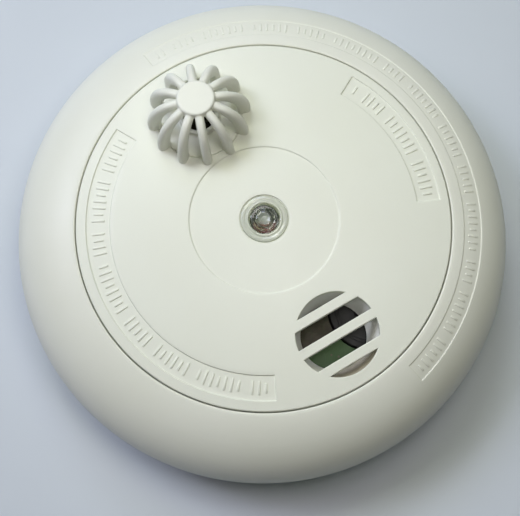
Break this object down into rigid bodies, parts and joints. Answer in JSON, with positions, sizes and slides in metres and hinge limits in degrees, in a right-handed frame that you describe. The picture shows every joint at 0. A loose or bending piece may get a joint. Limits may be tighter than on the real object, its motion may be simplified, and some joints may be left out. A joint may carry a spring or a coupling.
{
  "type": "ceiling heat alarm",
  "caption": "Round battery ceiling alarm: domed press-to-test face in a broad rounded rim, ribbed heat-sensor guard, barred sounder grille, twist-off mounting plate.",
  "frame": {"origin": "centre of the mounting plate's flat back face, which lies on the ceiling, or on a table face up", "axes": "+Z out of the alarm's face, away from the ceiling; +Y towards the sensor guard's side; +X towards the sounder's side"},
  "size_m": [0.15, 0.15, 0.0521],
  "materials": {
    "plastic_rim": "satin warm ivory moulded plastic",
    "plastic_cover": "satin warm ivory moulded plastic",
    "plastic_guard": "smooth ivory moulded plastic",
    "plastic_white": "fine matt off-white moulded plastic",
    "lens_clear": "clear polished plastic lens",
    "lamp_red": "red tinted epoxy",
    "plastic_black": "matt black moulded plastic",
    "board_green": "green solder mask",
    "steel": "bright zinc-plated steel",
    "can_aluminium": "satin aluminium can",
    "brass": "satin brass",
    "ceramic": "fired silvered ceramic",
    "resistor_tan": "tan lacquer",
    "copper": "enamelled copper winding",
    "battery_skin": "printed steel jacket, plain"
  },
  "bodies": {
    "base_plate": {"mounting_plate": "plastic_white"},
    "head": {"alarm_chip": "plastic_black", "battery": "battery_skin", "battery_contact_negative": "steel", "battery_contact_positive": "steel", "battery_terminal_negative": "steel", "battery_terminal_positive": "steel", "board_screw_1": "steel", "board_screw_2": "steel", "board_screw_3": "steel", "capacitor_1": "can_aluminium", "capacitor_2": "can_aluminium", "circuit_board": "board_green", "diode": "plastic_black", "door_hinge_pin": "steel", "front_ring": "plastic_rim", "housing_screw_1": "steel", "housing_screw_2": "steel", "housing_screw_3": "steel", "indicator_led": "lamp_red", "inductor": "copper", "rear_housing": "plastic_white", "resistor_1": "resistor_tan", "resistor_2": "resistor_tan", "resistor_3": "resistor_tan", "return_spring_1": "steel", "return_spring_2": "steel", "return_spring_3": "steel", "sounder_brass_plate": "brass", "sounder_cap": "plastic_black", "sounder_case": "plastic_black", "sounder_ceramic": "ceramic", "switch_housing": "plastic_black", "thermistor": "plastic_black"},
    "test_face": {"button_cover": "plastic_cover", "sensor_guard": "plastic_guard", "indicator_lens": "lens_clear", "sound_duct": "plastic_white"},
    "plunger": {"switch_plunger": "plastic_black"},
    "door": {"battery_door": "plastic_white"}
  },
  "joints": [
    {"name": "head_twist", "type": "hinge", "parent": "base_plate", "child": "head", "pos_m": [0, 0, 0], "axis": [0, 0, 1], "range_deg": [0, 15]},
    {"name": "test_press", "type": "slide", "parent": "head", "child": "test_face", "axis": [0, 0, -1], "range_m": [0, 0.001], "stiffness_N_per_m": 3000, "springref_m": -0.002, "deforming": ["return_spring_1", "return_spring_2", "return_spring_3"]},
    {"name": "plunger_press", "type": "slide", "parent": "head", "child": "plunger", "axis": [0, 0, -1], "range_m": [0, 0.001]},
    {"name": "door_swing", "type": "hinge", "parent": "head", "child": "door", "pos_m": [-0.003, 0.0244, 0.0019], "axis": [1, 0, 0], "range_deg": [0, 100]}
  ],
  "couplings": [
    {"joint": "plunger_press", "follows": "test_press", "ratio": 1}
  ]
}
